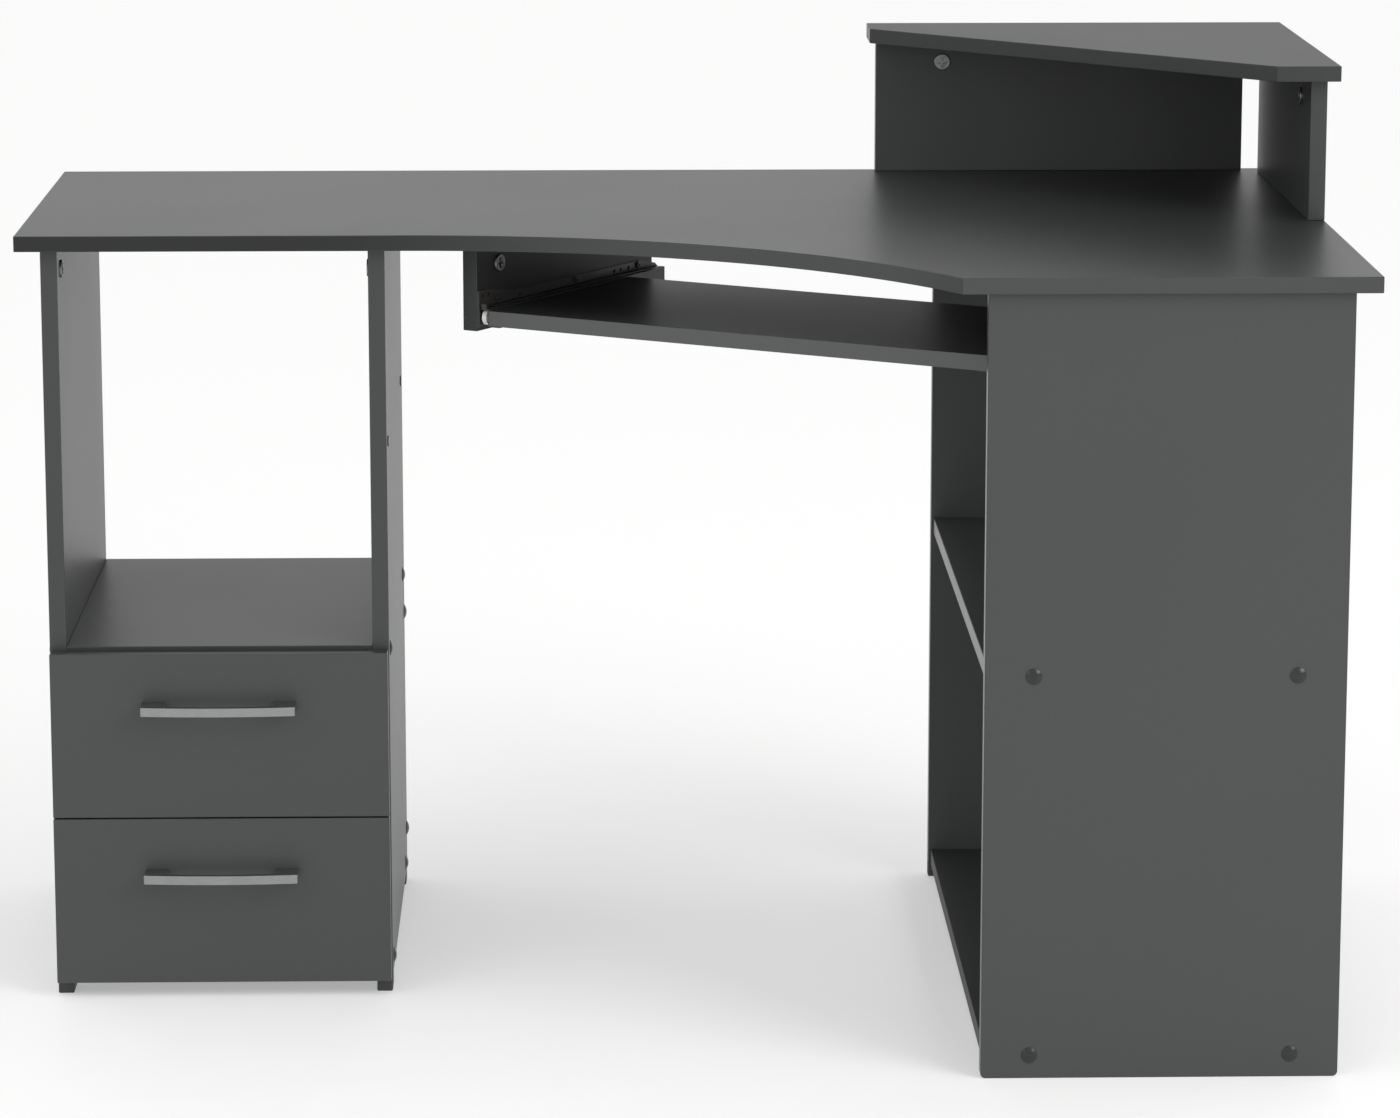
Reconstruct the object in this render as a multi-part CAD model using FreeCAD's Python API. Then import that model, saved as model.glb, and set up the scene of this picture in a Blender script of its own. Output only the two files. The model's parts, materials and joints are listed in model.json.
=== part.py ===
import FreeCAD, Part
import math
import os

# Corner computer desk: a desktop with a curved front, a monitor riser in the right rear corner,
# a drawer pedestal on the left, an open bookcase on the right and a keyboard tray between them.
# Millimetres, +X to the user's right, +Y away from the user, +Z up. The origin is on the floor,
# under the middle of the whole desk. Plan positions are given from the desktop's left edge and
# from its back edge, which x_at and y_at turn into coordinates.

Vector = FreeCAD.Vector

# Desktop
desk_width = 1260.0
desk_depth_left = 500.0
desk_depth_right = 795.0
desk_height = 750.0
curve_start = 373.0  # from the left edge: the straight left front becomes the arc
curve_end = 881.0  # from the left edge: the arc meets the straight right front

# Boards
top_thickness = 15.0  # desktop, riser top and keyboard tray
board = 16.0  # uprights, shelves and drawer fronts
box_board = 12.0  # drawer sides and backs
base_sheet = 3.0  # drawer bottoms
arris = 0.8  # softened board edges
foot_height = 15.0

# Monitor riser
riser_clearance = 137.0
riser_overhang = 10.0
riser_left = 837.5
riser_front = 436.0
riser_stub = 62.0
riser_leg_length = 383.0
riser_back_leg_left = 846.0
riser_side_leg_back = 32.0

# Drawer pedestal
pedestal_left = 23.0
pedestal_width = 328.0
pedestal_back = 50.0
pedestal_front = 482.0
pedestal_shelf_top = 347.6
pedestal_floor_bottom = 22.0
pedestal_back_inset = 8.0
spare_hole_height = 544.0

# Drawers
front_gap = 1.5  # between a closed drawer front and the pedestal's edges
front_reveal = 1.0  # how far the fronts stop short of the pedestal's sides
drawer_box_height = 120.0
drawer_box_depth = 370.0
upper_front_range = (181.2, 343.7)
lower_front_range = (15.2, 179.8)
upper_box_bottom = 200.0
lower_box_bottom = 46.0
upper_handle_height = 292.0
lower_handle_height = 125.5
bottom_groove = 6.0
bottom_raise = 8.0  # of the bottom sheet above the sides' lower edges

# Handles
handle_length = 149.0
handle_height = 9.0
handle_reach = 30.0
handle_bar = 5.0
handle_leg = 22.0
handle_bow = 4.0
handle_corner = 1.5
handle_rim = 0.7

# Bookcase
case_left = 905.0
case_right = 1237.0
case_front = 785.0
case_back = 42.0
case_shelf_inset = 2.5
case_shelf_centre = 381.4
case_floor_centre = 22.0
case_corner = 5.0

# Keyboard tray: its frame has its origin at the tray's front left corner
tray_angle = 31.4  # degrees that its front edge is turned from the desktop's back edge
tray_corner = (449.0, 458.7)
tray_width = 540.0
tray_depth = 265.0
tray_bottom = 656.0
bracket_depth = 331.0
bracket_bottom = 650.0

# Roller runners, in a frame of their own: x across the gap from the fixed face to the moving
# board, y backwards from the front end, z up from the moving board's underside
gap = 12.5
sheet = 1.2
runner_length = 340.0
moving_length = 322.0
flange_reach = 9.5
roller_radius = 7.4
roller_width = 5.0
roller_face = 3.5  # where the rollers begin, across the gap
front_roller_at = (10.0, 7.2)
rear_roller_at = (313.0, 7.0)
axle_radius = 2.0
axle_play = 0.08
axle_head_radius = 3.2
axle_head = 1.0
side_play = 0.4
fixed_bottom = -2.0
guide_bottom = 16.6
fixed_top = 26.0
plate_top = 33.0
plate_length = 20.0
ramp_end = 66.0
front_lip = 2.5
droop_start = 300.0  # the channel's rear end closes in on the roller from here
droop = 1.8
rear_tab = 14.0  # closes the channel's rear end on its open side
moving_top = 16.2
hook_top = 20.6
support_flange = 12.0
moving_setback = 2.0  # of the moving rail behind its board's front edge
hook_reach = 6.0
plate_holes = (8.0, 19.0)
plate_hole_height = 28.0
web_holes = (76.0, 254.0, 267.0, 282.0)
web_hole_height = 21.0
spare_hole_radius = 2.0
rail_screw_depths = (35.0, 180.0, 300.0)
rail_screw_height = 22.0
support_screw_shares = (0.15, 0.5, 0.85)
tyre_round = 0.6
tyre_wall = 1.6
tyre_dish = 0.7
hub_radius = 3.4

# Fixings
fit = 0.1  # radial room round every fixing in its hole
cam_radius = 7.5
cam_depth = 12.5
cam_rim_radius = 8.5
cam_rim = 2.2
cam_rim_round = 1.0
cam_dish_wall = 2.4
cam_dish = 0.5
cam_cross = (0.65, 4.0, 1.5)  # its reach as a share of the radius, its depth and half its width
cam_axis = 0.62  # the bolt's depth, as a share of the housing's
cam_channel_room = 0.4
cam_bolt_radius = 3.0
cam_setback = 23.0  # from a cam's centre to the joint
small_cam_radius = 6.0
small_cam_depth = 9.0
bolt_bite = 11.0
dowel_radius = 4.0
dowel_in_edge = 20.0
dowel_in_face = 10.0
confirmat_head = (4.8, 3.0)
confirmat_shank_radius = 3.4
confirmat_thread_radius = 2.7
confirmat_length = 48.0
cap_radius = 7.5
cap_height = 3.0
cap_rim = 0.6
rail_screw_length = 13.0
support_screw_length = 8.0
foot_length = 30.0
foot_pin = (2.0, 12.0)  # radius and length

# Where the fixings are
riser_cam_shares = (0.18, 0.82)  # along each leg
riser_dowel_shares = (0.3, 0.7)
screw_row_front = 26.0  # connecting screws, from the pedestal's front edge
screw_row_back = 50.0  # and from its back edge
pedestal_back_screws = (59.0, 293.0)  # heights
pedestal_cam_row = 33.0  # from both edges
pedestal_dowel_row = 80.0
case_screw_inset = 45.0  # screws and cams, from the bookcase's sides
case_dowel_inset = 110.0
bracket_cam_row = 40.0  # from both ends of a hanging board
bracket_dowel_row = 90.0

left_edge = -(desk_width + riser_overhang) / 2
back_edge = (desk_depth_right + riser_overhang) / 2 - riser_overhang
desk_underside = desk_height - top_thickness
riser_underside = desk_height + riser_clearance
pedestal_right = pedestal_left + pedestal_width
bay_left = pedestal_left + board
bay_right = pedestal_right - board
drawer_front_back = pedestal_front + front_gap
box_front = drawer_front_back
runner_front = pedestal_front - 2.0

X = Vector(1, 0, 0)
Y = Vector(0, 1, 0)
Z = Vector(0, 0, 1)


def x_at(from_left):
    return left_edge + from_left


def y_at(from_back):
    return back_edge - from_back


def block(x0, x1, y0, y1, z0, z1):
    return Part.makeBox(x1 - x0, y1 - y0, z1 - z0, Vector(x0, y0, z0))


def rod(radius, start, end):
    along = end - start
    return Part.makeCylinder(radius, along.Length, start, along)


def soften(shape, radius=arris):
    return shape.makeFillet(radius, shape.Edges)


def prism(points, height):
    """A polygon in plan, raised by height."""
    outline = Part.makePolygon(points + points[:1])
    return Part.Face(outline).extrude(Z * height)


def plank(left, right, back, front, bottom, top):
    """A board placed from the desktop's left and back edges."""
    return soften(block(x_at(left), x_at(right), y_at(front), y_at(back), bottom, top))


def in_frame(shape, origin, across, into):
    """Moves a fixing from its own frame: its x points across, its z points into the board."""
    turn = FreeCAD.Rotation(across, into.cross(across), into, "ZXY")
    placed = shape.copy()
    placed.Placement = FreeCAD.Placement(origin, turn).multiply(shape.Placement)
    return placed


def in_tray_frame(shape):
    placed = shape.copy()
    turn = FreeCAD.Rotation(Z, -tray_angle)
    origin = Vector(x_at(tray_corner[0]), y_at(tray_corner[1]), 0)
    placed.Placement = FreeCAD.Placement(origin, turn).multiply(shape.Placement)
    return placed


class Joinery:
    """Collects fixings by kind, and the holes that they need in every board they cross."""

    def __init__(self):
        self.kinds = {}
        self.holes = []

    def add(self, kind, solid, hole, frame=None):
        if frame:
            solid = in_frame(solid, *frame)
            hole = in_frame(hole, *frame)
        self.kinds.setdefault(kind, []).append(solid)
        self.holes.append(hole)

    def group(self, kind):
        return Part.makeCompound(self.kinds[kind])

    def drill(self, shape):
        """Cuts out of a board the holes of the fixings that reach it."""
        reach = [hole for hole in self.holes if hole.BoundBox.intersect(shape.BoundBox)]
        return shape.cut(reach) if reach else shape


def cross_recess(radius, top, depth, half_width):
    arm = block(-radius, radius, -half_width, half_width, top, top + depth)
    other = block(-half_width, half_width, -radius, radius, top, top + depth)
    return arm.fuse(other)


def cam_parts(radius, depth, rim_radius, to_mate):
    """A cam housing flush in a board's face, its bolt along x into the mate, and their holes."""
    centre = depth * cam_axis
    axis_end = to_mate + bolt_bite
    rim = rod(rim_radius, -Z * cam_rim, Vector())
    rim = rim.makeFillet(cam_rim_round, [edge for edge in rim.Edges if edge.BoundBox.ZMax < 0.01 - cam_rim])
    housing = rod(radius, Vector(), Z * depth).fuse(rim)
    channel_end = Z * centre + X * (rim_radius + 1)
    channel = rod(cam_bolt_radius + cam_channel_room, Z * centre, channel_end)
    dish = rod(rim_radius - cam_dish_wall, -Z * cam_rim, -Z * (cam_rim - cam_dish))
    cross_reach, cross_depth, cross_half = cam_cross
    recess = cross_recess(radius * cross_reach, -cam_rim, cross_depth, cross_half)
    housing = housing.cut([channel, dish, recess])
    neck = rod(cam_bolt_radius * 0.6, Z * centre + X * 0.5, Z * centre + X * radius)
    shank = rod(cam_bolt_radius, Z * centre + X * radius, Z * centre + X * axis_end)
    bolt = neck.fuse(shank)
    pocket = rod(radius + fit, -Z, Z * (depth + fit))
    bore = rod(cam_bolt_radius + fit, Z * centre, Z * centre + X * (axis_end + fit))
    return housing, bolt, pocket.fuse(bore)


def add_cam(joinery, face, into, toward, to_mate=cam_setback):
    housing, bolt, hole = cam_parts(cam_radius, cam_depth, cam_rim_radius, to_mate)
    frame = (face, toward, into)
    joinery.add("cam", housing, hole, frame)
    joinery.kinds.setdefault("bolt", []).append(in_frame(bolt, *frame))


def add_dowel(joinery, joint, into_face):
    start = joint - into_face * dowel_in_edge
    end = joint + into_face * dowel_in_face
    solid = rod(dowel_radius, start, end)
    hole = rod(dowel_radius + fit, start - into_face * fit, end + into_face * fit)
    joinery.add("dowel", solid, hole)


def stepped(stages):
    """Coaxial cylinders along z: (radius, start, end) of each."""
    shape = None
    for radius, start, end in stages:
        part = rod(radius, Z * start, Z * end)
        shape = shape.fuse(part) if shape else part
    return shape


def add_confirmat(joinery, face, into, across, capped=True):
    """A one-piece connecting screw through an upright into a board's end, under a plastic cap."""
    head_radius, head_depth = confirmat_head
    sink = 0.4
    stages = [
        (head_radius, sink, sink + head_depth),
        (confirmat_shank_radius, sink + head_depth, board + 1),
        (confirmat_thread_radius, board + 1, confirmat_length),
    ]
    socket = rod(2.2, Vector(), Z * (sink + 2.4))
    screw = stepped(stages).cut(socket)
    room = [(radius + fit, start - fit, end + fit) for radius, start, end in stages]
    room.append((head_radius + fit, -1.0, sink))
    joinery.add("confirmat", screw, stepped(room), (face, across, into))
    if capped:
        stem = rod(1.8, Vector(), Z * 2.2)
        cap = in_frame(domed_disc().fuse(stem), face, across, into)
        joinery.kinds.setdefault("cap", []).append(cap)


def domed_disc():
    """A cover cap on a face at z = 0: a thin rim under a shallow dome."""
    rise = cap_height - cap_rim
    ball_radius = (cap_radius * cap_radius + rise * rise) / (2 * rise)
    ball = Part.makeSphere(ball_radius, Z * (ball_radius - cap_height))
    dome = ball.common(rod(cap_radius, -Z * cap_height, -Z * cap_rim))
    return dome.fuse(rod(cap_radius, -Z * cap_rim, Vector()))


def outer_rim(head):
    """The index of a screw head's outer rim, the circle furthest from the panel."""
    heights = [edge.BoundBox.ZMax for edge in head.Edges]
    return heights.index(min(heights))


def pan_screw(length, radius=1.6, head_radius=3.2, head=1.8):
    """A pan head screw on a face at z = 0, driven along z, and its hole."""
    crown = rod(head_radius, -Z * head, Vector())
    crown = crown.makeFillet(head * 0.5, [crown.Edges[outer_rim(crown)]])
    crown = crown.cut(cross_recess(head_radius * 0.55, -head, 1.0, 0.7))
    solid = crown.fuse(rod(radius, Vector(), Z * length))
    return solid, rod(radius + fit, -Z * 3, Z * (length + fit))


def desktop_outline():
    """The desktop's plan: a straight left front, a concave arc and a straight right front."""
    drop = desk_depth_right - desk_depth_left
    run = curve_end - curve_start
    radius = (run * run + drop * drop) / (2 * drop)
    centre = Vector(x_at(curve_start), y_at(desk_depth_left + radius), 0)
    start = Vector(x_at(curve_start), y_at(desk_depth_left), 0)
    end = Vector(x_at(curve_end), y_at(desk_depth_right), 0)
    half = math.asin(run / radius) / 2
    middle = centre + Vector(math.sin(half), math.cos(half), 0) * radius
    corners = [
        end,
        Vector(x_at(desk_width), y_at(desk_depth_right), 0),
        Vector(x_at(desk_width), y_at(0), 0),
        Vector(x_at(0), y_at(0), 0),
        Vector(x_at(0), y_at(desk_depth_left), 0),
        start,
    ]
    edges = [Part.Arc(start, middle, end).toShape()]
    for here, there in zip(corners, corners[1:]):
        edges.append(Part.LineSegment(here, there).toShape())
    return Part.Face(Part.Wire(edges))


def make_desktop():
    slab = desktop_outline().extrude(Z * top_thickness)
    slab.translate(Z * desk_underside)
    return soften(slab)


def make_riser_top():
    right = desk_width + riser_overhang
    plan = [
        (riser_left, -riser_overhang),
        (right, -riser_overhang),
        (right, riser_front),
        (right - riser_stub, riser_front),
        (riser_left, riser_stub - riser_overhang),
    ]
    points = [Vector(x_at(x), y_at(y), riser_underside) for x, y in plan]
    return soften(prism(points, top_thickness))


def make_riser_legs():
    back_right = riser_back_leg_left + riser_leg_length
    side_front = riser_side_leg_back + riser_leg_length
    back = plank(riser_back_leg_left, back_right, 0, board, desk_height, riser_underside)
    side = plank(
        desk_width - board, desk_width, riser_side_leg_back, side_front, desk_height, riser_underside
    )
    return back, side


def join_riser(joinery):
    """Cams at the legs' tops, dowels beside them, and screws up through the desktop."""
    cam_height = riser_underside - cam_setback
    for share in riser_cam_shares:
        x = x_at(riser_back_leg_left + riser_leg_length * share)
        y = y_at(riser_side_leg_back + riser_leg_length * share)
        add_cam(joinery, Vector(x, y_at(board), cam_height), Y, Z)
        add_cam(joinery, Vector(x_at(desk_width - board), y, cam_height), X, Z)
    for share in riser_dowel_shares:
        x = x_at(riser_back_leg_left + riser_leg_length * share)
        y = y_at(riser_side_leg_back + riser_leg_length * share)
        mid_back = y_at(board / 2)
        mid_side = x_at(desk_width - board / 2)
        add_dowel(joinery, Vector(x, mid_back, riser_underside), Z)
        add_dowel(joinery, Vector(mid_side, y, riser_underside), Z)
        add_confirmat(joinery, Vector(x, mid_back, desk_underside), Z, X, capped=False)
        add_confirmat(joinery, Vector(mid_side, y, desk_underside), Z, X, capped=False)


def make_pedestal():
    """Two uprights, the shelf over the drawers, the floor and the low back."""
    floor_top = pedestal_floor_bottom + board
    shelf_bottom = pedestal_shelf_top - board
    back = pedestal_back + pedestal_back_inset
    depth = (pedestal_back, pedestal_front)
    return {
        "pedestal_outer_panel": plank(pedestal_left, bay_left, *depth, foot_height, desk_underside),
        "pedestal_inner_panel": plank(bay_right, pedestal_right, *depth, foot_height, desk_underside),
        "pedestal_shelf": plank(bay_left, bay_right, *depth, shelf_bottom, pedestal_shelf_top),
        "pedestal_floor": plank(bay_left, bay_right, *depth, pedestal_floor_bottom, floor_top),
        "pedestal_back": plank(bay_left, bay_right, back, back + board, floor_top, shelf_bottom),
    }


def join_pedestal(joinery):
    shelf_mid = pedestal_shelf_top - board / 2
    floor_mid = pedestal_floor_bottom + board / 2
    back_mid = pedestal_back + pedestal_back_inset + board / 2
    front_row = pedestal_front - screw_row_front
    rear_row = pedestal_back + screw_row_back
    places = [(row, mid) for row in (front_row, rear_row) for mid in (shelf_mid, floor_mid)]
    places += [(back_mid, height) for height in pedestal_back_screws]
    for row, height in places:
        add_confirmat(joinery, Vector(x_at(pedestal_left), y_at(row), height), X, Y)
        add_confirmat(joinery, Vector(x_at(pedestal_right), y_at(row), height), -X, Y)
    for row in (pedestal_front - pedestal_cam_row, pedestal_back + pedestal_cam_row):
        height = desk_underside - cam_setback
        add_cam(joinery, Vector(x_at(bay_left), y_at(row), height), -X, Z)
        add_cam(joinery, Vector(x_at(bay_right), y_at(row), height), X, Z)
    for row in (pedestal_front - pedestal_dowel_row, pedestal_back + pedestal_dowel_row):
        for x in (pedestal_left + board / 2, pedestal_right - board / 2):
            add_dowel(joinery, Vector(x_at(x), y_at(row), desk_underside), Z)


def plug_spare_holes(joinery):
    """Caps over the inner upright's two spare shelf holes."""
    for row in (pedestal_front - screw_row_front, pedestal_back + screw_row_back):
        face = Vector(x_at(pedestal_right), y_at(row), spare_hole_height)
        cap = rod(cap_radius * 0.7, -Z * 1.2, Vector()).fuse(rod(2.4, Vector(), Z * 8))
        hole = rod(2.4 + fit, -Z, Z * 10)
        joinery.add("cap", cap, hole, (face, Y, -X))


def make_bookcase():
    """A front and a rear upright with a shelf and a floor between them, open at both sides."""
    shelf_half = board / 2
    left = case_left + case_shelf_inset
    right = case_right - case_shelf_inset
    inner = (case_back + board, case_front - board)
    middle = (case_shelf_centre - shelf_half, case_shelf_centre + shelf_half)
    floor = (case_floor_centre - shelf_half, case_floor_centre + shelf_half)
    rear = plank(case_left, case_right, case_back, inner[0], foot_height, desk_underside)
    return {
        "bookcase_front_panel": make_case_front(),
        "bookcase_rear_panel": rear,
        "bookcase_shelf": plank(left, right, *inner, *middle),
        "bookcase_floor": plank(left, right, *inner, *floor),
    }


def make_case_front():
    """The front upright reaches the floor, and its two lower corners are rounded."""
    slab = block(
        x_at(case_left), x_at(case_right), y_at(case_front), y_at(case_front - board), 0, desk_underside
    )
    low = [edge for edge in slab.Edges if edge.BoundBox.ZMax < 1 and edge.BoundBox.YLength > 1]
    rounded = slab.makeFillet(case_corner, low)
    return soften(rounded)


def join_bookcase(joinery):
    for x in (x_at(case_left + case_screw_inset), x_at(case_right - case_screw_inset)):
        for height in (case_shelf_centre, case_floor_centre):
            add_confirmat(joinery, Vector(x, y_at(case_front), height), Y, X)
            add_confirmat(joinery, Vector(x, y_at(case_back), height), -Y, X)
        height = desk_underside - cam_setback
        add_cam(joinery, Vector(x, y_at(case_front - board), height), -Y, Z)
        add_cam(joinery, Vector(x, y_at(case_back + board), height), Y, Z)
    for x in (x_at(case_left + case_dowel_inset), x_at(case_right - case_dowel_inset)):
        for row in (case_front - board / 2, case_back + board / 2):
            add_dowel(joinery, Vector(x, y_at(row), desk_underside), Z)


def foot(x, y, length, width):
    """A plastic glide with a pin up into the board above it."""
    pad = block(x - length / 2, x + length / 2, y - width / 2, y + width / 2, 0, foot_height)
    low = [edge for edge in pad.Edges if edge.BoundBox.ZMin < foot_height - 1]
    pad = pad.makeFillet(1.5, low)
    pin_radius, pin_length = foot_pin
    pin_top = foot_height + pin_length
    pin = rod(pin_radius, Vector(x, y, foot_height), Vector(x, y, pin_top))
    hole = rod(pin_radius + fit, Vector(x, y, foot_height - 1), Vector(x, y, pin_top + fit))
    return pad.fuse(pin), hole


def add_feet(joinery):
    width = board - 0.6
    inset = foot_length / 2
    for x in (x_at(pedestal_left + board / 2), x_at(pedestal_right - board / 2)):
        for row in (pedestal_front - inset, pedestal_back + inset):
            joinery.add("foot", *foot(x, y_at(row), width, foot_length))
    for x in (x_at(case_left + inset), x_at(case_right - inset)):
        joinery.add("foot", *foot(x, y_at(case_back + board / 2), foot_length, width))


def make_tray():
    """The tray and the two boards that hang from the desktop and carry its runners."""
    top = tray_bottom + top_thickness
    left = -gap
    right = tray_width + gap
    depth = (0, bracket_depth, bracket_bottom, desk_underside)
    return {
        "tray_board": soften(block(0, tray_width, 0, tray_depth, tray_bottom, top)),
        "tray_left_bracket": soften(block(left - board, left, *depth)),
        "tray_right_bracket": soften(block(right, right + board, *depth)),
    }


def join_tray(joinery):
    """Cams and dowels of the two hanging boards, in the tray's frame."""
    right = tray_width + gap
    for row in (bracket_cam_row, bracket_depth - bracket_cam_row):
        add_cam(joinery, Vector(-gap, row, desk_underside - cam_setback), -X, Z)
        add_cam(joinery, Vector(right, row, desk_underside - cam_setback), X, Z)
    for row in (bracket_dowel_row, bracket_depth - bracket_dowel_row):
        add_dowel(joinery, Vector(-gap - board / 2, row, desk_underside), Z)
        add_dowel(joinery, Vector(right + board / 2, row, desk_underside), Z)


def axle(start, end, collar_start, collar_end, at):
    """A rivet along x at (depth, height), with a collar at the sheet and a head beyond the roller."""
    depth, height = at
    step = math.copysign(axle_head, end - start)
    parts = [
        (axle_radius, start, end),
        (axle_head_radius, collar_start, collar_end),
        (axle_head_radius, end - step, end),
    ]
    solids = [rod(r, Vector(a, depth, height), Vector(b, depth, height)) for r, a, b in parts]
    return solids[0].fuse(solids[1:])


def upright_sheet(profile, start, end):
    """A piece with a profile of (depth, height) points, from start to end across the gap."""
    points = [Vector(start, depth, height) for depth, height in profile]
    return Part.Face(Part.makePolygon(points + points[:1])).extrude(X * (end - start))


def fixed_rail():
    """The channel that is screwed to the fixed board, with a taller plate at its front end."""
    low_guide = guide_bottom - droop
    profile = [
        (0, fixed_bottom),
        (runner_length, fixed_bottom),
        (runner_length, low_guide + sheet),
        (runner_length - 5, low_guide + 5),
        (droop_start + 6, fixed_top),
        (ramp_end, fixed_top),
        (plate_length, plate_top),
        (0, plate_top),
    ]
    web = upright_sheet(profile, 0, sheet)
    lip = block(0, front_lip, 0, sheet, fixed_bottom, plate_top)
    clear = front_roller_at[0] + roller_radius + 3
    track = block(sheet, flange_reach, clear, runner_length, fixed_bottom, fixed_bottom + sheet)
    guide_line = [(clear, guide_bottom), (droop_start, guide_bottom), (runner_length, low_guide)]
    above = [(depth, height + sheet) for depth, height in reversed(guide_line)]
    guide = upright_sheet(guide_line + above, sheet, flange_reach)
    stop = block(
        sheet, flange_reach, runner_length - sheet, runner_length, fixed_bottom + sheet, low_guide + sheet
    )
    tab = block(
        flange_reach - sheet,
        flange_reach,
        runner_length - rear_tab,
        runner_length,
        fixed_bottom + sheet,
        low_guide + sheet,
    )
    roller_end = roller_face + roller_width
    rivet = axle(
        sheet, roller_end + side_play + axle_head, sheet, roller_face - side_play, front_roller_at
    )
    places = [(depth, plate_hole_height) for depth in plate_holes]
    places += [(depth, web_hole_height) for depth in web_holes]
    holes = []
    for at in places:
        holes.append(rod(spare_hole_radius, Vector(-1, *at), Vector(sheet + 1, *at)))
    return web.fuse([lip, track, guide, stop, tab, rivet]).cut(holes)


def moving_rail(board_length):
    """The folded rail under the moving board's edge. Its outer flange rolls on the front roller."""
    web_start = gap - sheet
    flange_end = rear_roller_at[0] - roller_radius - 7
    front = moving_setback
    outer = roller_face + 0.5
    flange_low = moving_top - sheet
    web = block(web_start, gap, front, moving_length, -sheet, moving_top)
    shelf = block(gap, gap + support_flange, front, board_length - front, -sheet, 0)
    running = block(outer, web_start, front, flange_end, flange_low, moving_top)
    hook = block(outer, roller_face + hook_reach, front, front + sheet, flange_low, hook_top)
    rivet = axle(
        web_start,
        roller_face - side_play - axle_head,
        roller_face + roller_width + side_play,
        web_start,
        rear_roller_at,
    )
    return web.fuse([shelf, running, hook, rivet])


def roller(at):
    """A nylon wheel on its rivet, dished on both sides."""
    depth, height = at
    start = Vector(roller_face, depth, height)
    tyre = rod(roller_radius, start, start + X * roller_width)
    tyre = tyre.makeFillet(tyre_round, [edge for edge in tyre.Edges if edge.BoundBox.XLength < 0.01])
    bore = rod(axle_radius + axle_play, start - X, start + X * (roller_width + 1))
    inner = roller_radius - tyre_wall
    dish = rod(inner, start - X, start + X * tyre_dish)
    rear_dish = rod(inner, start + X * (roller_width - tyre_dish), start + X * (roller_width + 1))
    hub = rod(hub_radius, start, start + X * roller_width)
    return tyre.cut([dish, rear_dish]).fuse(hub).cut(bore)


def at_side(shape, hand, left_face, right_face, front, base):
    """Moves a runner piece from its own frame to the left or the right fixed face."""
    placed = shape.copy()
    if hand == "right":
        placed = placed.mirror(Vector(), X)
    placed.translate(Vector(left_face if hand == "left" else right_face, front, base))
    return placed


def make_runners(prefix, left_face, right_face, front, base, board_length, fixed_holes, moving_holes):
    """One pair of runners. Returns its nodes, and adds its screw holes to the two hole lists."""

    def placed(shape, hand):
        return at_side(shape, hand, left_face, right_face, front, base)

    nodes = {}
    screw, hole = pan_screw(rail_screw_length)
    short_screw, short_hole = pan_screw(support_screw_length)
    side_screws = []
    under_screws = []
    for hand in ("left", "right"):
        side_tools = []
        under_tools = []
        for depth in rail_screw_depths:
            frame = (Vector(sheet, depth, rail_screw_height), Y, -X)
            side_screws.append(placed(in_frame(screw, *frame), hand))
            side_tools.append(in_frame(hole, *frame))
        for share in support_screw_shares:
            frame = (Vector(gap + support_flange / 2, board_length * share, -sheet), X, Z)
            under_screws.append(placed(in_frame(short_screw, *frame), hand))
            under_tools.append(in_frame(short_hole, *frame))
        nodes[f"{prefix}_{hand}_fixed_rail"] = placed(fixed_rail().cut(side_tools), hand)
        nodes[f"{prefix}_{hand}_moving_rail"] = placed(moving_rail(board_length).cut(under_tools), hand)
        fixed_holes += [placed(tool, hand) for tool in side_tools]
        moving_holes += [placed(tool, hand) for tool in under_tools]
    for name, at in (("front", front_roller_at), ("rear", rear_roller_at)):
        pair = [placed(roller(at), hand) for hand in ("left", "right")]
        nodes[f"{prefix}_{name}_rollers"] = Part.makeCompound(pair)
    nodes[f"{prefix}_rail_screws"] = Part.makeCompound(under_screws)
    return nodes, side_screws


def make_handle(centre_x, height):
    """A bow handle: a flat bar that bulges towards the user, on a leg at each end."""
    face = y_at(drawer_front_back + board)
    half = handle_length / 2
    outer = face - handle_reach
    inner = outer + handle_bar
    low = height - handle_height / 2

    def at(x, y):
        return Vector(centre_x + x, y, low)

    front_arc = Part.Arc(at(-half, outer + handle_bow), at(0, outer), at(half, outer + handle_bow))
    clear = half - handle_leg
    inner_side = inner + handle_bow
    inner_arc = Part.Arc(at(clear, inner_side), at(0, inner), at(-clear, inner_side))
    ends = [(half, face), (clear, face)]
    right = [front_arc.EndPoint] + [at(x, y) for x, y in ends] + [inner_arc.StartPoint]
    left = [inner_arc.EndPoint] + [at(-x, y) for x, y in reversed(ends)] + [front_arc.StartPoint]
    edges = [front_arc.toShape(), inner_arc.toShape()]
    for side in (right, left):
        for here, there in zip(side, side[1:]):
            edges.append(Part.LineSegment(here, there).toShape())
    outline = Part.Wire(Part.__sortEdges__(edges))
    body = Part.Face(outline).extrude(Z * handle_height)
    deepest = outer + handle_bow + 0.01
    corners = [edge for edge in body.Edges if edge.BoundBox.YMax < deepest and edge.BoundBox.ZLength > 1]
    body = body.makeFillet(handle_corner, corners)
    rims = [edge for edge in body.Edges if edge.BoundBox.YMin < outer + 0.01 and edge.BoundBox.ZLength < 1]
    return body.makeFillet(handle_rim, rims)


def handle_fixings(centre_x, height):
    """Two machine screws from inside the drawer front into the handle's legs."""
    back = y_at(drawer_front_back)
    reach = (handle_length - handle_leg) / 2
    screws = []
    holes = []
    for x in (centre_x - reach, centre_x + reach):
        screw, hole = pan_screw(board + 9.0, radius=2.0, head_radius=4.0, head=2.4)
        frame = (Vector(x, back, height), X, -Y)
        screws.append(in_frame(screw, *frame))
        holes.append(in_frame(hole, *frame))
    return screws, holes


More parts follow.
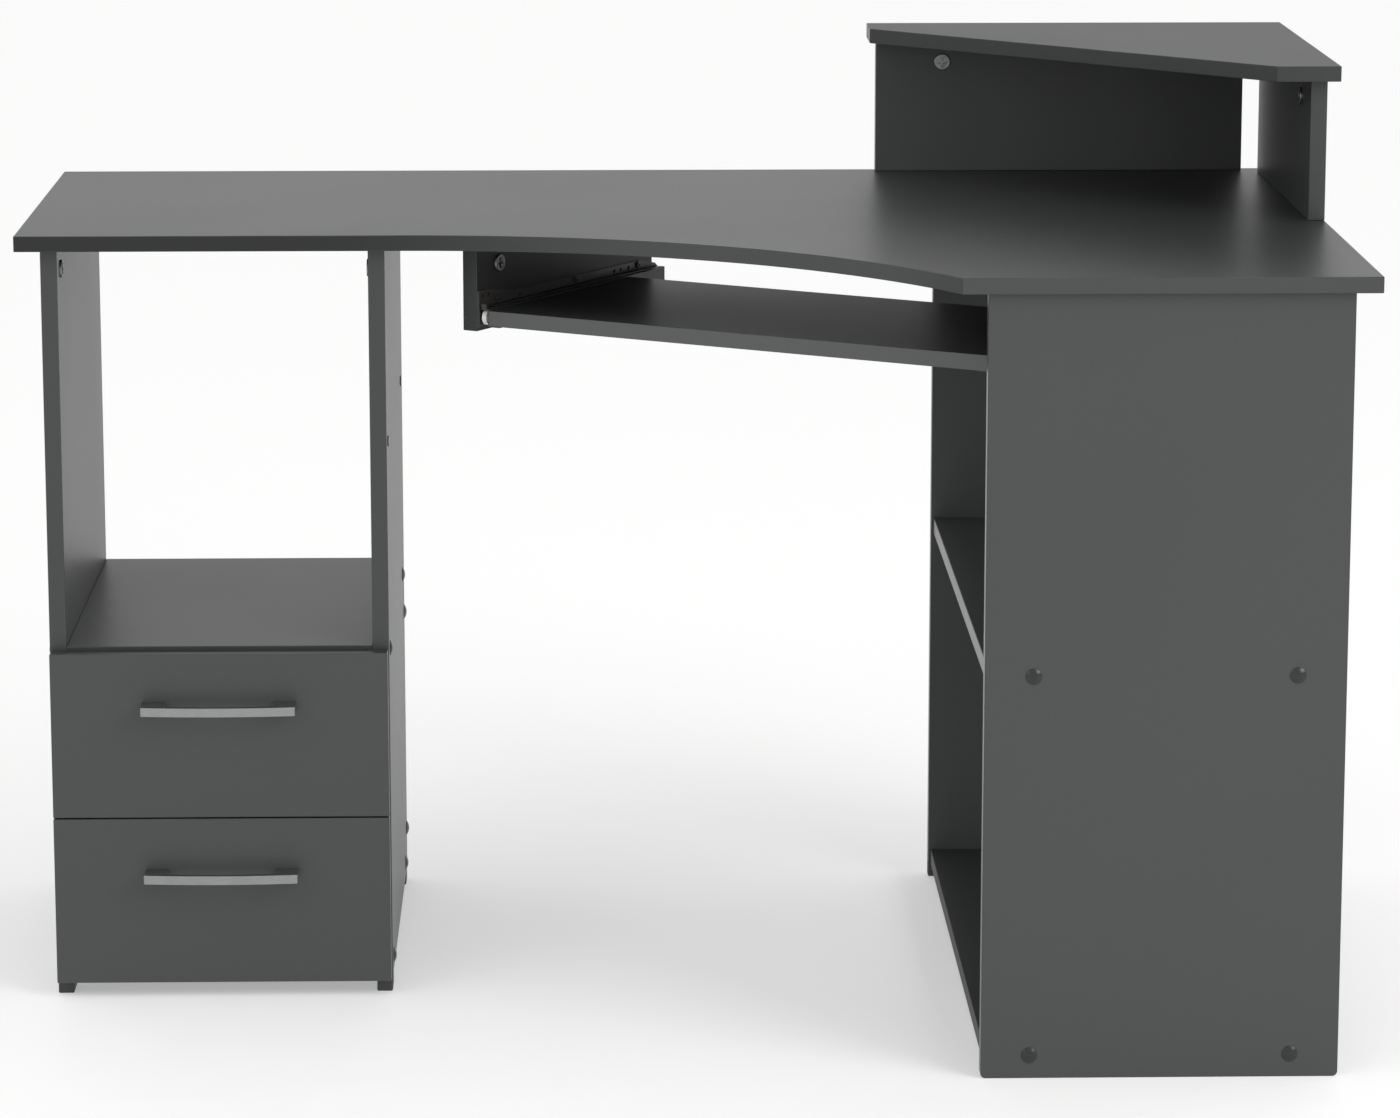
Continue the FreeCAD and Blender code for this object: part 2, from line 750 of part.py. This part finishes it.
def make_drawer(name, front_range, box_bottom, handle_height_at):
    """One drawer: its nodes, and the screws and holes that its fixed rails need in the uprights."""
    low, high = front_range
    centre_x = x_at((pedestal_left + pedestal_right) / 2)
    left = bay_left + gap
    right = bay_right - gap
    rear = box_front - drawer_box_depth
    base = box_bottom + bottom_raise
    top = box_bottom + drawer_box_height
    front = plank(
        pedestal_left + front_reveal,
        pedestal_right - front_reveal,
        drawer_front_back,
        drawer_front_back + board,
        low,
        high,
    )
    left_side = plank(left, left + box_board, rear, box_front, box_bottom, top)
    right_side = plank(right - box_board, right, rear, box_front, box_bottom, top)
    base_top = base + base_sheet
    back = plank(left + box_board, right - box_board, rear, rear + box_board, base_top + fit, top)
    sheet_left = left + box_board - bottom_groove
    sheet_right = right - box_board + bottom_groove
    sheet_front = box_front + bottom_groove
    bottom = block(
        x_at(sheet_left), x_at(sheet_right), y_at(sheet_front), y_at(rear), base, base_top
    )
    slot = block(
        x_at(sheet_left) - fit,
        x_at(sheet_right) + fit,
        y_at(sheet_front) - fit,
        y_at(rear) + 1,
        base - fit,
        base_top + fit,
    )
    handle_screws, handle_holes = handle_fixings(centre_x, handle_height_at)
    joinery = Joinery()
    housing, bolt, hole = cam_parts(small_cam_radius, small_cam_depth, small_cam_radius + 0.6, cam_setback)
    for x, into in ((left + box_board, -X), (right - box_board, X)):
        face = Vector(x_at(x), y_at(box_front - cam_setback), (box_bottom + top) / 2)
        joinery.add("cam", housing, hole, (face, -Y, into))
        joinery.add("cam", bolt, hole, (face, -Y, into))
    fixed_holes = []
    moving_holes = []
    runners, side_screws = make_runners(
        name,
        x_at(bay_left),
        x_at(bay_right),
        y_at(runner_front),
        box_bottom,
        moving_length,
        fixed_holes,
        moving_holes,
    )
    nodes = {
        f"{name}_front": joinery.drill(front.cut([slot] + handle_holes)),
        f"{name}_left_side": joinery.drill(left_side.cut([slot] + moving_holes)),
        f"{name}_right_side": joinery.drill(right_side.cut([slot] + moving_holes)),
        f"{name}_back": back,
        f"{name}_bottom": bottom,
        f"{name}_handle": make_handle(centre_x, handle_height_at).cut(handle_holes),
        f"{name}_handle_screws": Part.makeCompound(handle_screws),
        f"{name}_cam_fittings": joinery.group("cam"),
    }
    nodes.update(runners)
    return nodes, side_screws, fixed_holes


def build():
    nodes = {"desktop": make_desktop(), "riser_top": make_riser_top()}
    nodes["riser_back_leg"], nodes["riser_side_leg"] = make_riser_legs()
    nodes.update(make_pedestal())
    nodes.update(make_bookcase())

    frame_joints = Joinery()
    join_riser(frame_joints)
    join_pedestal(frame_joints)
    plug_spare_holes(frame_joints)
    join_bookcase(frame_joints)
    add_feet(frame_joints)

    tray_joints = Joinery()
    join_tray(tray_joints)
    tray_nodes = make_tray()
    tray_fixed_holes = []
    tray_moving_holes = []
    runners, rail_screws = make_runners(
        "tray",
        -gap,
        tray_width + gap,
        0,
        tray_bottom,
        tray_depth,
        tray_fixed_holes,
        tray_moving_holes,
    )
    for name in ("tray_left_bracket", "tray_right_bracket"):
        tray_nodes[name] = tray_joints.drill(tray_nodes[name].cut(tray_fixed_holes))
    tray_nodes["tray_board"] = tray_nodes["tray_board"].cut(tray_moving_holes)
    tray_nodes.update(runners)
    for name, shape in tray_nodes.items():
        nodes[name] = in_tray_frame(shape)
    rail_screws = [in_tray_frame(screw) for screw in rail_screws]

    upright_holes = []
    drawers = [
        ("upper_drawer", upper_front_range, upper_box_bottom, upper_handle_height),
        ("lower_drawer", lower_front_range, lower_box_bottom, lower_handle_height),
    ]
    for drawer in drawers:
        drawer_nodes, side_screws, holes = make_drawer(*drawer)
        nodes.update(drawer_nodes)
        rail_screws += side_screws
        upright_holes += holes
    for name in ("pedestal_outer_panel", "pedestal_inner_panel"):
        nodes[name] = nodes[name].cut(upright_holes)

    frame_joints.holes += [in_tray_frame(hole) for hole in tray_joints.holes]
    for kind, solids in tray_joints.kinds.items():
        frame_joints.kinds[kind] += [in_tray_frame(solid) for solid in solids]
    boards = ["desktop", "riser_top", "riser_back_leg", "riser_side_leg"]
    boards += [name for name in nodes if name.startswith(("pedestal", "bookcase"))]
    for name in boards:
        nodes[name] = frame_joints.drill(nodes[name])

    nodes["cam_housings"] = frame_joints.group("cam")
    nodes["cam_bolts"] = frame_joints.group("bolt")
    nodes["dowels"] = frame_joints.group("dowel")
    nodes["confirmat_screws"] = frame_joints.group("confirmat")
    nodes["cover_caps"] = frame_joints.group("cap")
    nodes["feet"] = frame_joints.group("foot")
    nodes["fixed_rail_screws"] = Part.makeCompound(rail_screws)
    return nodes


os.makedirs("parts", exist_ok=True)
parts = build()
for name, shape in sorted(parts.items()):
    shape.exportStep(f"parts/{name}.step")
print(len(parts), "nodes written")
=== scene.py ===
import json
import math

import bpy
from mathutils import Euler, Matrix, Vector


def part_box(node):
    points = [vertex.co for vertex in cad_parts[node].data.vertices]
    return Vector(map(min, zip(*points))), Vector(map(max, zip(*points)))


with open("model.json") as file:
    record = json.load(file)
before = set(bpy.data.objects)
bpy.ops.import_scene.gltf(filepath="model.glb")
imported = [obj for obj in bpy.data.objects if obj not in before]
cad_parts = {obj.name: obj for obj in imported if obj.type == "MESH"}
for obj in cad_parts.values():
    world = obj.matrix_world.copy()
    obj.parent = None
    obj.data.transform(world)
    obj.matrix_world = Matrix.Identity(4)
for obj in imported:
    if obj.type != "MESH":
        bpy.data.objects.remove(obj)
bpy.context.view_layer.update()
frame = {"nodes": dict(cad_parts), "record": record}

# Metres, in the CAD's frame: +X to the user's right, +Y away from the user, +Z up, the floor at 0.

TRAY_TURN = math.radians(31.4)

# Camera: standing height, a long lens, looking slightly down and to the right
CAMERA_PLACE = (-0.0966, -4.9688, 1.4143)
CAMERA_PITCH = math.radians(11.386)
CAMERA_YAW = math.radians(1.337)
LENS = 132.4

# Light: lamp powers in watts, strengths of the surround and of the floor's own glow
KEY_WATTS = 70
FILL_WATTS = 20
SURROUND = 0.92
FLOOR_GLOW = 0.36

# Linear colours of the boards' faces and of their edge banding. The darker face and banding colours of the
# desktop, riser top, tray, bookcase floor and tray brackets are painted shade, the paler banding of the
# desktop and tray is painted light, the arris colour is partly wear and partly painted highlight, and the
# seam colour is a dark joint.
MELAMINE = (0.0425, 0.0460, 0.0445)
# Painted shade: the same melamine as the uprights, darkened for the desktop, riser top, tray and bookcase
# floor
TOP_FACE_SHADE_PAINTED = (0.0280, 0.0303, 0.0293)
# Painted shade: the tray brackets' faces, darkened for the shade under the desktop
MELAMINE_SHADED = (0.0180, 0.0195, 0.0188)
BAND = (0.0400, 0.0430, 0.0418)
# Painted shade: darker banding for the desktop's left edge and the bookcase floor's edge
SHADE_PAINTED_BAND = (0.0172, 0.0185, 0.0179)
RISER_BAND = (0.0400, 0.0428, 0.0415)
# Painted light: paler banding for the desktop's edges away from its left end
DESK_LIGHT_PAINTED_BAND = (0.0545, 0.0583, 0.0567)
# Painted shade: the tray brackets' banding, darkened for the shade under the desktop
SHADED_BAND = (0.0335, 0.0360, 0.0350)
# Painted light: paler banding for the tray's edges, standing in for light from the front left
TRAY_LIGHT_PAINTED_BAND = (0.0720, 0.0760, 0.0740)
# Partly edge wear and partly painted highlight along the softened arrises
WEAR_AND_HIGHLIGHT = (0.075, 0.080, 0.078)
SEAM = (0.018, 0.019, 0.019)


class Graph:
    """One material's nodes, built from the inside out. Values can be numbers, tuples or sockets."""

    def __init__(self, name, **uniform):
        self.material = bpy.data.materials.new(name)
        self.material.use_nodes = True
        self.nodes = self.material.node_tree.nodes
        self.links = self.material.node_tree.links
        self.shader = self.nodes["Principled BSDF"]
        for socket, value in uniform.items():
            self.shader.inputs[socket.replace("_", " ")].default_value = value
        self.coordinates = self.nodes.new("ShaderNodeTexCoord")
        self.place = self.coordinates.outputs["Object"]
        self.normal = self.coordinates.outputs["Normal"]

    def add(self, kind, values, output=0, **settings):
        node = self.nodes.new(kind)
        for key, value in settings.items():
            setattr(node, key, value)
        for key, value in values.items():
            self.feed(node.inputs[key], value)
        return node.outputs[output]

    def feed(self, socket, value):
        if isinstance(value, bpy.types.NodeSocket):
            self.links.new(value, socket)
        elif hasattr(socket.default_value, "__len__") and len(socket.default_value) == 4:
            socket.default_value = (*value[:3], 1.0)
        else:
            socket.default_value = value

    def math(self, operation, a, b=0.0):
        return self.add("ShaderNodeMath", {0: a, 1: b}, operation=operation)

    def remap(self, value, low, high, to_low=0.0, to_high=1.0):
        values = {"Value": value, "From Min": low, "From Max": high, "To Min": to_low, "To Max": to_high}
        return self.add("ShaderNodeMapRange", values, interpolation_type="SMOOTHSTEP")

    def scaled(self, scale):
        return self.add("ShaderNodeMapping", {"Vector": self.place, "Scale": scale})

    def noise(self, size, detail=2.0, roughness=0.5, stretch=(1, 1, 1)):
        """Noise with features about size metres across."""
        place = self.scaled([s / size for s in stretch])
        values = {"Vector": place, "Scale": 1.0, "Detail": detail, "Roughness": roughness}
        return self.add("ShaderNodeTexNoise", values)

    def cells(self, size):
        """Distance to the nearest of scattered points, about size metres apart."""
        values = {"Vector": self.scaled([1 / size] * 3), "Scale": 1.0}
        return self.add("ShaderNodeTexVoronoi", values)

    def mix(self, factor, a, b, blend_type="MIX"):
        node = self.nodes.new("ShaderNodeMix")
        node.data_type = "RGBA"
        node.blend_type = blend_type
        self.feed(node.inputs["Factor"], factor)
        self.feed(node.inputs["A"], a)
        self.feed(node.inputs["B"], b)
        return node.outputs["Result"]

    def shade(self, colour, factor, amount):
        """Colour made lighter and darker by a share of amount, with factor around 0.5."""
        gain = self.remap(factor, 0.25, 0.75, 1 - amount, 1 + amount)
        grey = self.add("ShaderNodeCombineColor", {"Red": gain, "Green": gain, "Blue": gain})
        return self.mix(1.0, colour, grey, "MULTIPLY")

    def bump(self, height, depth):
        """Height of 0 to 1 raised by depth metres."""
        return self.add("ShaderNodeBump", {"Height": height, "Distance": depth, "Strength": 1.0})

    def finish(self, colour, roughness, normal=None):
        self.feed(self.shader.inputs["Base Color"], colour)
        self.feed(self.shader.inputs["Roughness"], roughness)
        if normal:
            self.feed(self.shader.inputs["Normal"], normal)
        return self.material


def melamine(name, axis, face=MELAMINE, gloss=0.40, specular=0.5, band=BAND, left_shade_band=None):
    """Graphite melamine on a board whose main faces look along axis, with plastic edge banding.

    The optional left banding colour is painted shade: a darker band on the left edge, where it differs from
    the rest.
    """
    g = Graph(name, Specular_IOR_Level=specular)
    facing = g.add("ShaderNodeVectorMath", {0: g.normal, 1: axis}, output=1, operation="DOT_PRODUCT")
    facing = g.math("ABSOLUTE", facing)
    on_edge = g.remap(facing, 0.5, 0.2)
    # The softened arris turns from the face to the edge, and the banding's seam lies along its start
    on_arris = g.math("MULTIPLY", g.remap(facing, 0.985, 0.90), g.remap(facing, 0.08, 0.3))
    seam = g.math("MULTIPLY", g.remap(facing, 0.999, 0.992), g.remap(facing, 0.90, 0.96))

    pearl = g.noise(0.0011, detail=2.0, roughness=0.6)
    grit = g.cells(0.0007)
    cloud = g.noise(0.30, detail=2.0, roughness=0.5)
    scuff = g.noise(0.045, detail=5.0, roughness=0.65)

    # Painted shade: the banding darkens towards the board's left end
    if left_shade_band:
        across = g.add("ShaderNodeSeparateXYZ", {"Vector": g.place}, output="X")
        band = g.mix(g.remap(across, -0.37, 0.05), left_shade_band, band)
    colour = g.mix(on_edge, face, band)
    colour = g.shade(colour, cloud, 0.02)
    colour = g.shade(colour, pearl, 0.07)
    # The softened arrises turn lighter where the scuff noise allows: partly wear, partly painted highlight
    rubbed = g.math("MULTIPLY", on_arris, g.remap(scuff, 0.3, 0.75, 0.15, 0.75))
    colour = g.mix(rubbed, colour, WEAR_AND_HIGHLIGHT)
    colour = g.mix(g.math("MULTIPLY", seam, 0.7), colour, SEAM)

    roughness = g.remap(cloud, 0.25, 0.75, gloss - 0.008, gloss + 0.008)
    roughness = g.math("ADD", roughness, g.remap(pearl, 0.3, 0.7, -0.03, 0.03))
    roughness = g.math("SUBTRACT", roughness, g.math("MULTIPLY", on_edge, 0.06))
    height = g.math("ADD", pearl, g.math("MULTIPLY", grit, 0.5))
    height = g.math("MULTIPLY", height, g.remap(on_edge, 0, 1, 1.0, 0.45))
    return g.finish(colour, roughness, g.bump(height, 0.000035))


def satin_steel():
    """Brushed along X, with a little anisotropy."""
    g = Graph("satin_steel", Metallic=1.0, Anisotropic=0.35)
    brush = g.noise(0.00035, detail=3.0, roughness=0.7, stretch=(0.02, 1.0, 1.0))
    cloud = g.noise(0.02, detail=2.0)
    colour = g.shade((0.290, 0.298, 0.294), brush, 0.10)
    colour = g.shade(colour, cloud, 0.04)
    roughness = g.remap(brush, 0.3, 0.7, 0.30, 0.42)
    return g.finish(colour, roughness, g.bump(brush, 0.00001))


def coated_steel():
    """The runners: black powder coat with orange peel, rubbed thin on its high spots."""
    g = Graph("black_coated_steel", Specular_IOR_Level=0.4)
    peel = g.noise(0.0016, detail=2.0, roughness=0.5)
    rub = g.noise(0.012, detail=4.0, roughness=0.7, stretch=(1.0, 0.25, 1.0))
    worn_through = g.remap(rub, 0.55, 0.8, 0.0, 0.35)
    colour = g.mix(worn_through, (0.0330, 0.0300, 0.0288), (0.062, 0.059, 0.057))
    colour = g.shade(colour, peel, 0.1)
    roughness = g.remap(rub, 0.3, 0.8, 0.44, 0.32)
    return g.finish(colour, roughness, g.bump(peel, 0.00004))


def nylon():
    g = Graph("white_nylon", Subsurface_Weight=0.15, Subsurface_Scale=0.002)
    grain = g.noise(0.0012, detail=3.0)
    soil = g.noise(0.006, detail=3.0, roughness=0.6)
    colour = g.mix(g.remap(soil, 0.5, 0.75, 0.0, 0.5), (0.74, 0.74, 0.71), (0.50, 0.49, 0.46))
    colour = g.shade(colour, grain, 0.04)
    return g.finish(colour, g.remap(soil, 0.3, 0.7, 0.38, 0.52), g.bump(grain, 0.00002))


def cast_alloy():
    """Cam housings: dull die-cast zinc."""
    g = Graph("cam_alloy", Metallic=1.0)
    grain = g.noise(0.0006, detail=4.0, roughness=0.7)
    cloud = g.noise(0.004, detail=2.0)
    colour = g.shade((0.285, 0.291, 0.288), grain, 0.18)
    colour = g.shade(colour, cloud, 0.16)
    return g.finish(colour, g.remap(grain, 0.3, 0.7, 0.34, 0.50), g.bump(grain, 0.00003))


def zinc_plate():
    """Screws and cam bolts: bright zinc with a faint yellow and blue passivation."""
    g = Graph("zinc_plated_steel", Metallic=1.0)
    tint = g.noise(0.003, detail=2.0)
    grain = g.noise(0.0004, detail=3.0)
    colour = g.mix(g.remap(tint, 0.3, 0.7), (0.58, 0.57, 0.52), (0.50, 0.53, 0.57))
    colour = g.shade(colour, grain, 0.1)
    return g.finish(colour, g.remap(grain, 0.3, 0.7, 0.24, 0.36), g.bump(grain, 0.000012))


def moulded(name, colour, low, high):
    """Moulded plastic with a spark-eroded texture and a slow change of gloss."""
    g = Graph(name, Specular_IOR_Level=0.5)
    spark = g.noise(0.0005, detail=3.0, roughness=0.7)
    gloss = g.noise(0.008, detail=2.0)
    shade = g.shade(colour, spark, 0.10)
    shade = g.shade(shade, gloss, 0.06)
    return g.finish(shade, g.remap(gloss, 0.3, 0.7, low, high), g.bump(spark, 0.00003))


def beech():
    """Dowels: pale rays and short pores along Z."""
    g = Graph("beech")
    ring = g.noise(0.003, detail=3.0, stretch=(1.0, 1.0, 0.06))
    pore = g.noise(0.0006, detail=2.0, stretch=(1.0, 1.0, 0.12))
    colour = g.mix(g.remap(ring, 0.3, 0.7), (0.58, 0.38, 0.22), (0.44, 0.26, 0.13))
    colour = g.mix(g.remap(pore, 0.56, 0.70, 0.0, 0.6), colour, (0.22, 0.11, 0.05))
    return g.finish(colour, g.remap(ring, 0.3, 0.7, 0.55, 0.7), g.bump(pore, 0.00006))


def hardboard():
    """Drawer bottoms: printed graphite above, bare brown fibre below."""
    g = Graph("hardboard", Specular_IOR_Level=0.35)
    z = g.add("ShaderNodeSeparateXYZ", {"Vector": g.normal}, output="Z")
    above = g.remap(z, -0.2, 0.2)
    fibre = g.noise(0.0022, detail=5.0, roughness=0.75)
    mesh = g.noise(0.0007, detail=2.0)
    bare = g.mix(g.remap(fibre, 0.3, 0.7), (0.17, 0.095, 0.05), (0.29, 0.18, 0.10))
    printed = g.shade(BAND, mesh, 0.12)
    roughness = g.math("ADD", g.remap(above, 0.0, 1.0, 0.75, 0.42), g.remap(mesh, 0.3, 0.7, -0.04, 0.04))
    depth = g.mix(above, fibre, mesh)
    return g.finish(g.mix(above, bare, printed), roughness, g.bump(depth, 0.00008))


def floor_paint():
    glow = {"Emission_Color": (1.0, 1.0, 1.0, 1.0), "Emission_Strength": FLOOR_GLOW}
    g = Graph("studio_floor", Specular_IOR_Level=0.2, **glow)
    grain = g.noise(0.05, detail=4.0)
    colour = g.shade((0.62, 0.62, 0.617), grain, 0.006)
    return g.finish(colour, g.remap(grain, 0.3, 0.7, 0.60, 0.70))


def dress(node, material):
    """Gives a CAD node one material."""
    mesh = frame["nodes"][node].data
    mesh.materials.clear()
    mesh.materials.append(material)
    for face in mesh.polygons:
        face.material_index = 0


def dress_nodes():
    """A material for every CAD node, by its slot in the record and, for boards, by its main faces."""
    turned = (math.cos(TRAY_TURN), -math.sin(TRAY_TURN), 0.0)
    upward = (0.0, 0.0, 1.0)
    boards = {
        "X": melamine("melamine_side", (1.0, 0.0, 0.0), specular=0.42),
        "Y": melamine("melamine_front", (0.0, 1.0, 0.0)),
        "Z": melamine("melamine_shelf", upward, gloss=0.38, specular=0.22),
        # Painted shade: the desktop, riser top, tray and bookcase floor take a darkened copy of the face
        # colour
        "desktop": melamine("desktop_melamine_painted_light_and_shade", upward, TOP_FACE_SHADE_PAINTED, 0.37, 0.27, DESK_LIGHT_PAINTED_BAND, SHADE_PAINTED_BAND),
        "riser_top": melamine("riser_melamine_painted_shade", upward, TOP_FACE_SHADE_PAINTED, 0.45, 0.27, band=RISER_BAND),
        # Painted light: the tray's banding is made paler
        "tray_board": melamine("tray_melamine_painted_light_and_shade", upward, TOP_FACE_SHADE_PAINTED, 0.38, 0.45, TRAY_LIGHT_PAINTED_BAND),
        # Painted shade: the tray brackets take darkened face and banding colours
        "tray_left_bracket": melamine("bracket_melamine_painted_shade", turned, MELAMINE_SHADED, 0.42, 0.25, SHADED_BAND),
        "bookcase_floor": melamine("bookcase_floor_melamine_painted_shade", upward, TOP_FACE_SHADE_PAINTED, 0.50, 0.10, SHADE_PAINTED_BAND),
    }
    boards["tray_right_bracket"] = boards["tray_left_bracket"]
    slots = {
        "satin_steel": satin_steel(),
        "black_steel": coated_steel(),
        "white_nylon": nylon(),
        "cam_alloy": cast_alloy(),
        "zinc_plated_steel": zinc_plate(),
        "black_plastic": moulded("black_plastic", (0.028, 0.029, 0.029), 0.42, 0.55),
        "dark_grey_plastic": moulded("dark_grey_plastic", (0.012, 0.013, 0.0125), 0.20, 0.28),
        "beech": beech(),
        "hardboard": hardboard(),
    }
    for part in frame["record"]["subparts"]:
        node = part["node"]
        if part["material_slot"] in slots:
            dress(node, slots[part["material_slot"]])
            continue
        low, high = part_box(node)
        size = high - low
        thin = "XYZ"[min(range(3), key=lambda i: size[i])]
        dress(node, boards.get(node) or boards[thin])


def lamp(name, place, target, size, watts):
    light = bpy.data.lights.new(name, "AREA")
    light.shape = "RECTANGLE"
    light.size, light.size_y = size
    light.energy = watts
    lamp_object = bpy.data.objects.new(name, light)
    lamp_object.location = place
    lamp_object.rotation_euler = (Vector(target) - Vector(place)).to_track_quat("-Z", "Y").to_euler()
    bpy.context.scene.collection.objects.link(lamp_object)


def studio():
    """A pale floor, a white surround and two large soft lamps, the stronger one on the right."""
    bpy.ops.mesh.primitive_plane_add(size=80.0)
    floor = bpy.context.object
    floor.name = "studio_floor"
    floor.data.materials.append(floor_paint())
    world = bpy.data.worlds.new("studio")
    bpy.context.scene.world = world
    world.use_nodes = True
    sky = world.node_tree.nodes["Background"]
    sky.inputs["Color"].default_value = (1.0, 1.0, 1.0, 1.0)
    sky.inputs["Strength"].default_value = SURROUND
    lamp("key", (2.9, -2.6, 2.6), (0.5, -0.2, 0.4), (2.0, 2.4), KEY_WATTS)
    lamp("fill", (-3.2, -3.0, 2.4), (-0.1, 0.0, 0.4), (2.4, 2.4), FILL_WATTS)


def camera():
    data = bpy.data.cameras.new("camera")
    data.sensor_width = 36.0
    data.lens = LENS
    data.clip_end = 200.0
    seen = bpy.data.objects.new("camera", data)
    seen.location = CAMERA_PLACE
    seen.rotation_euler = Euler((math.radians(90) - CAMERA_PITCH, 0.0, -CAMERA_YAW))
    bpy.context.scene.collection.objects.link(seen)
    bpy.context.scene.camera = seen


dress_nodes()
studio()
camera()
bpy.context.scene.view_settings.view_transform = "Standard"
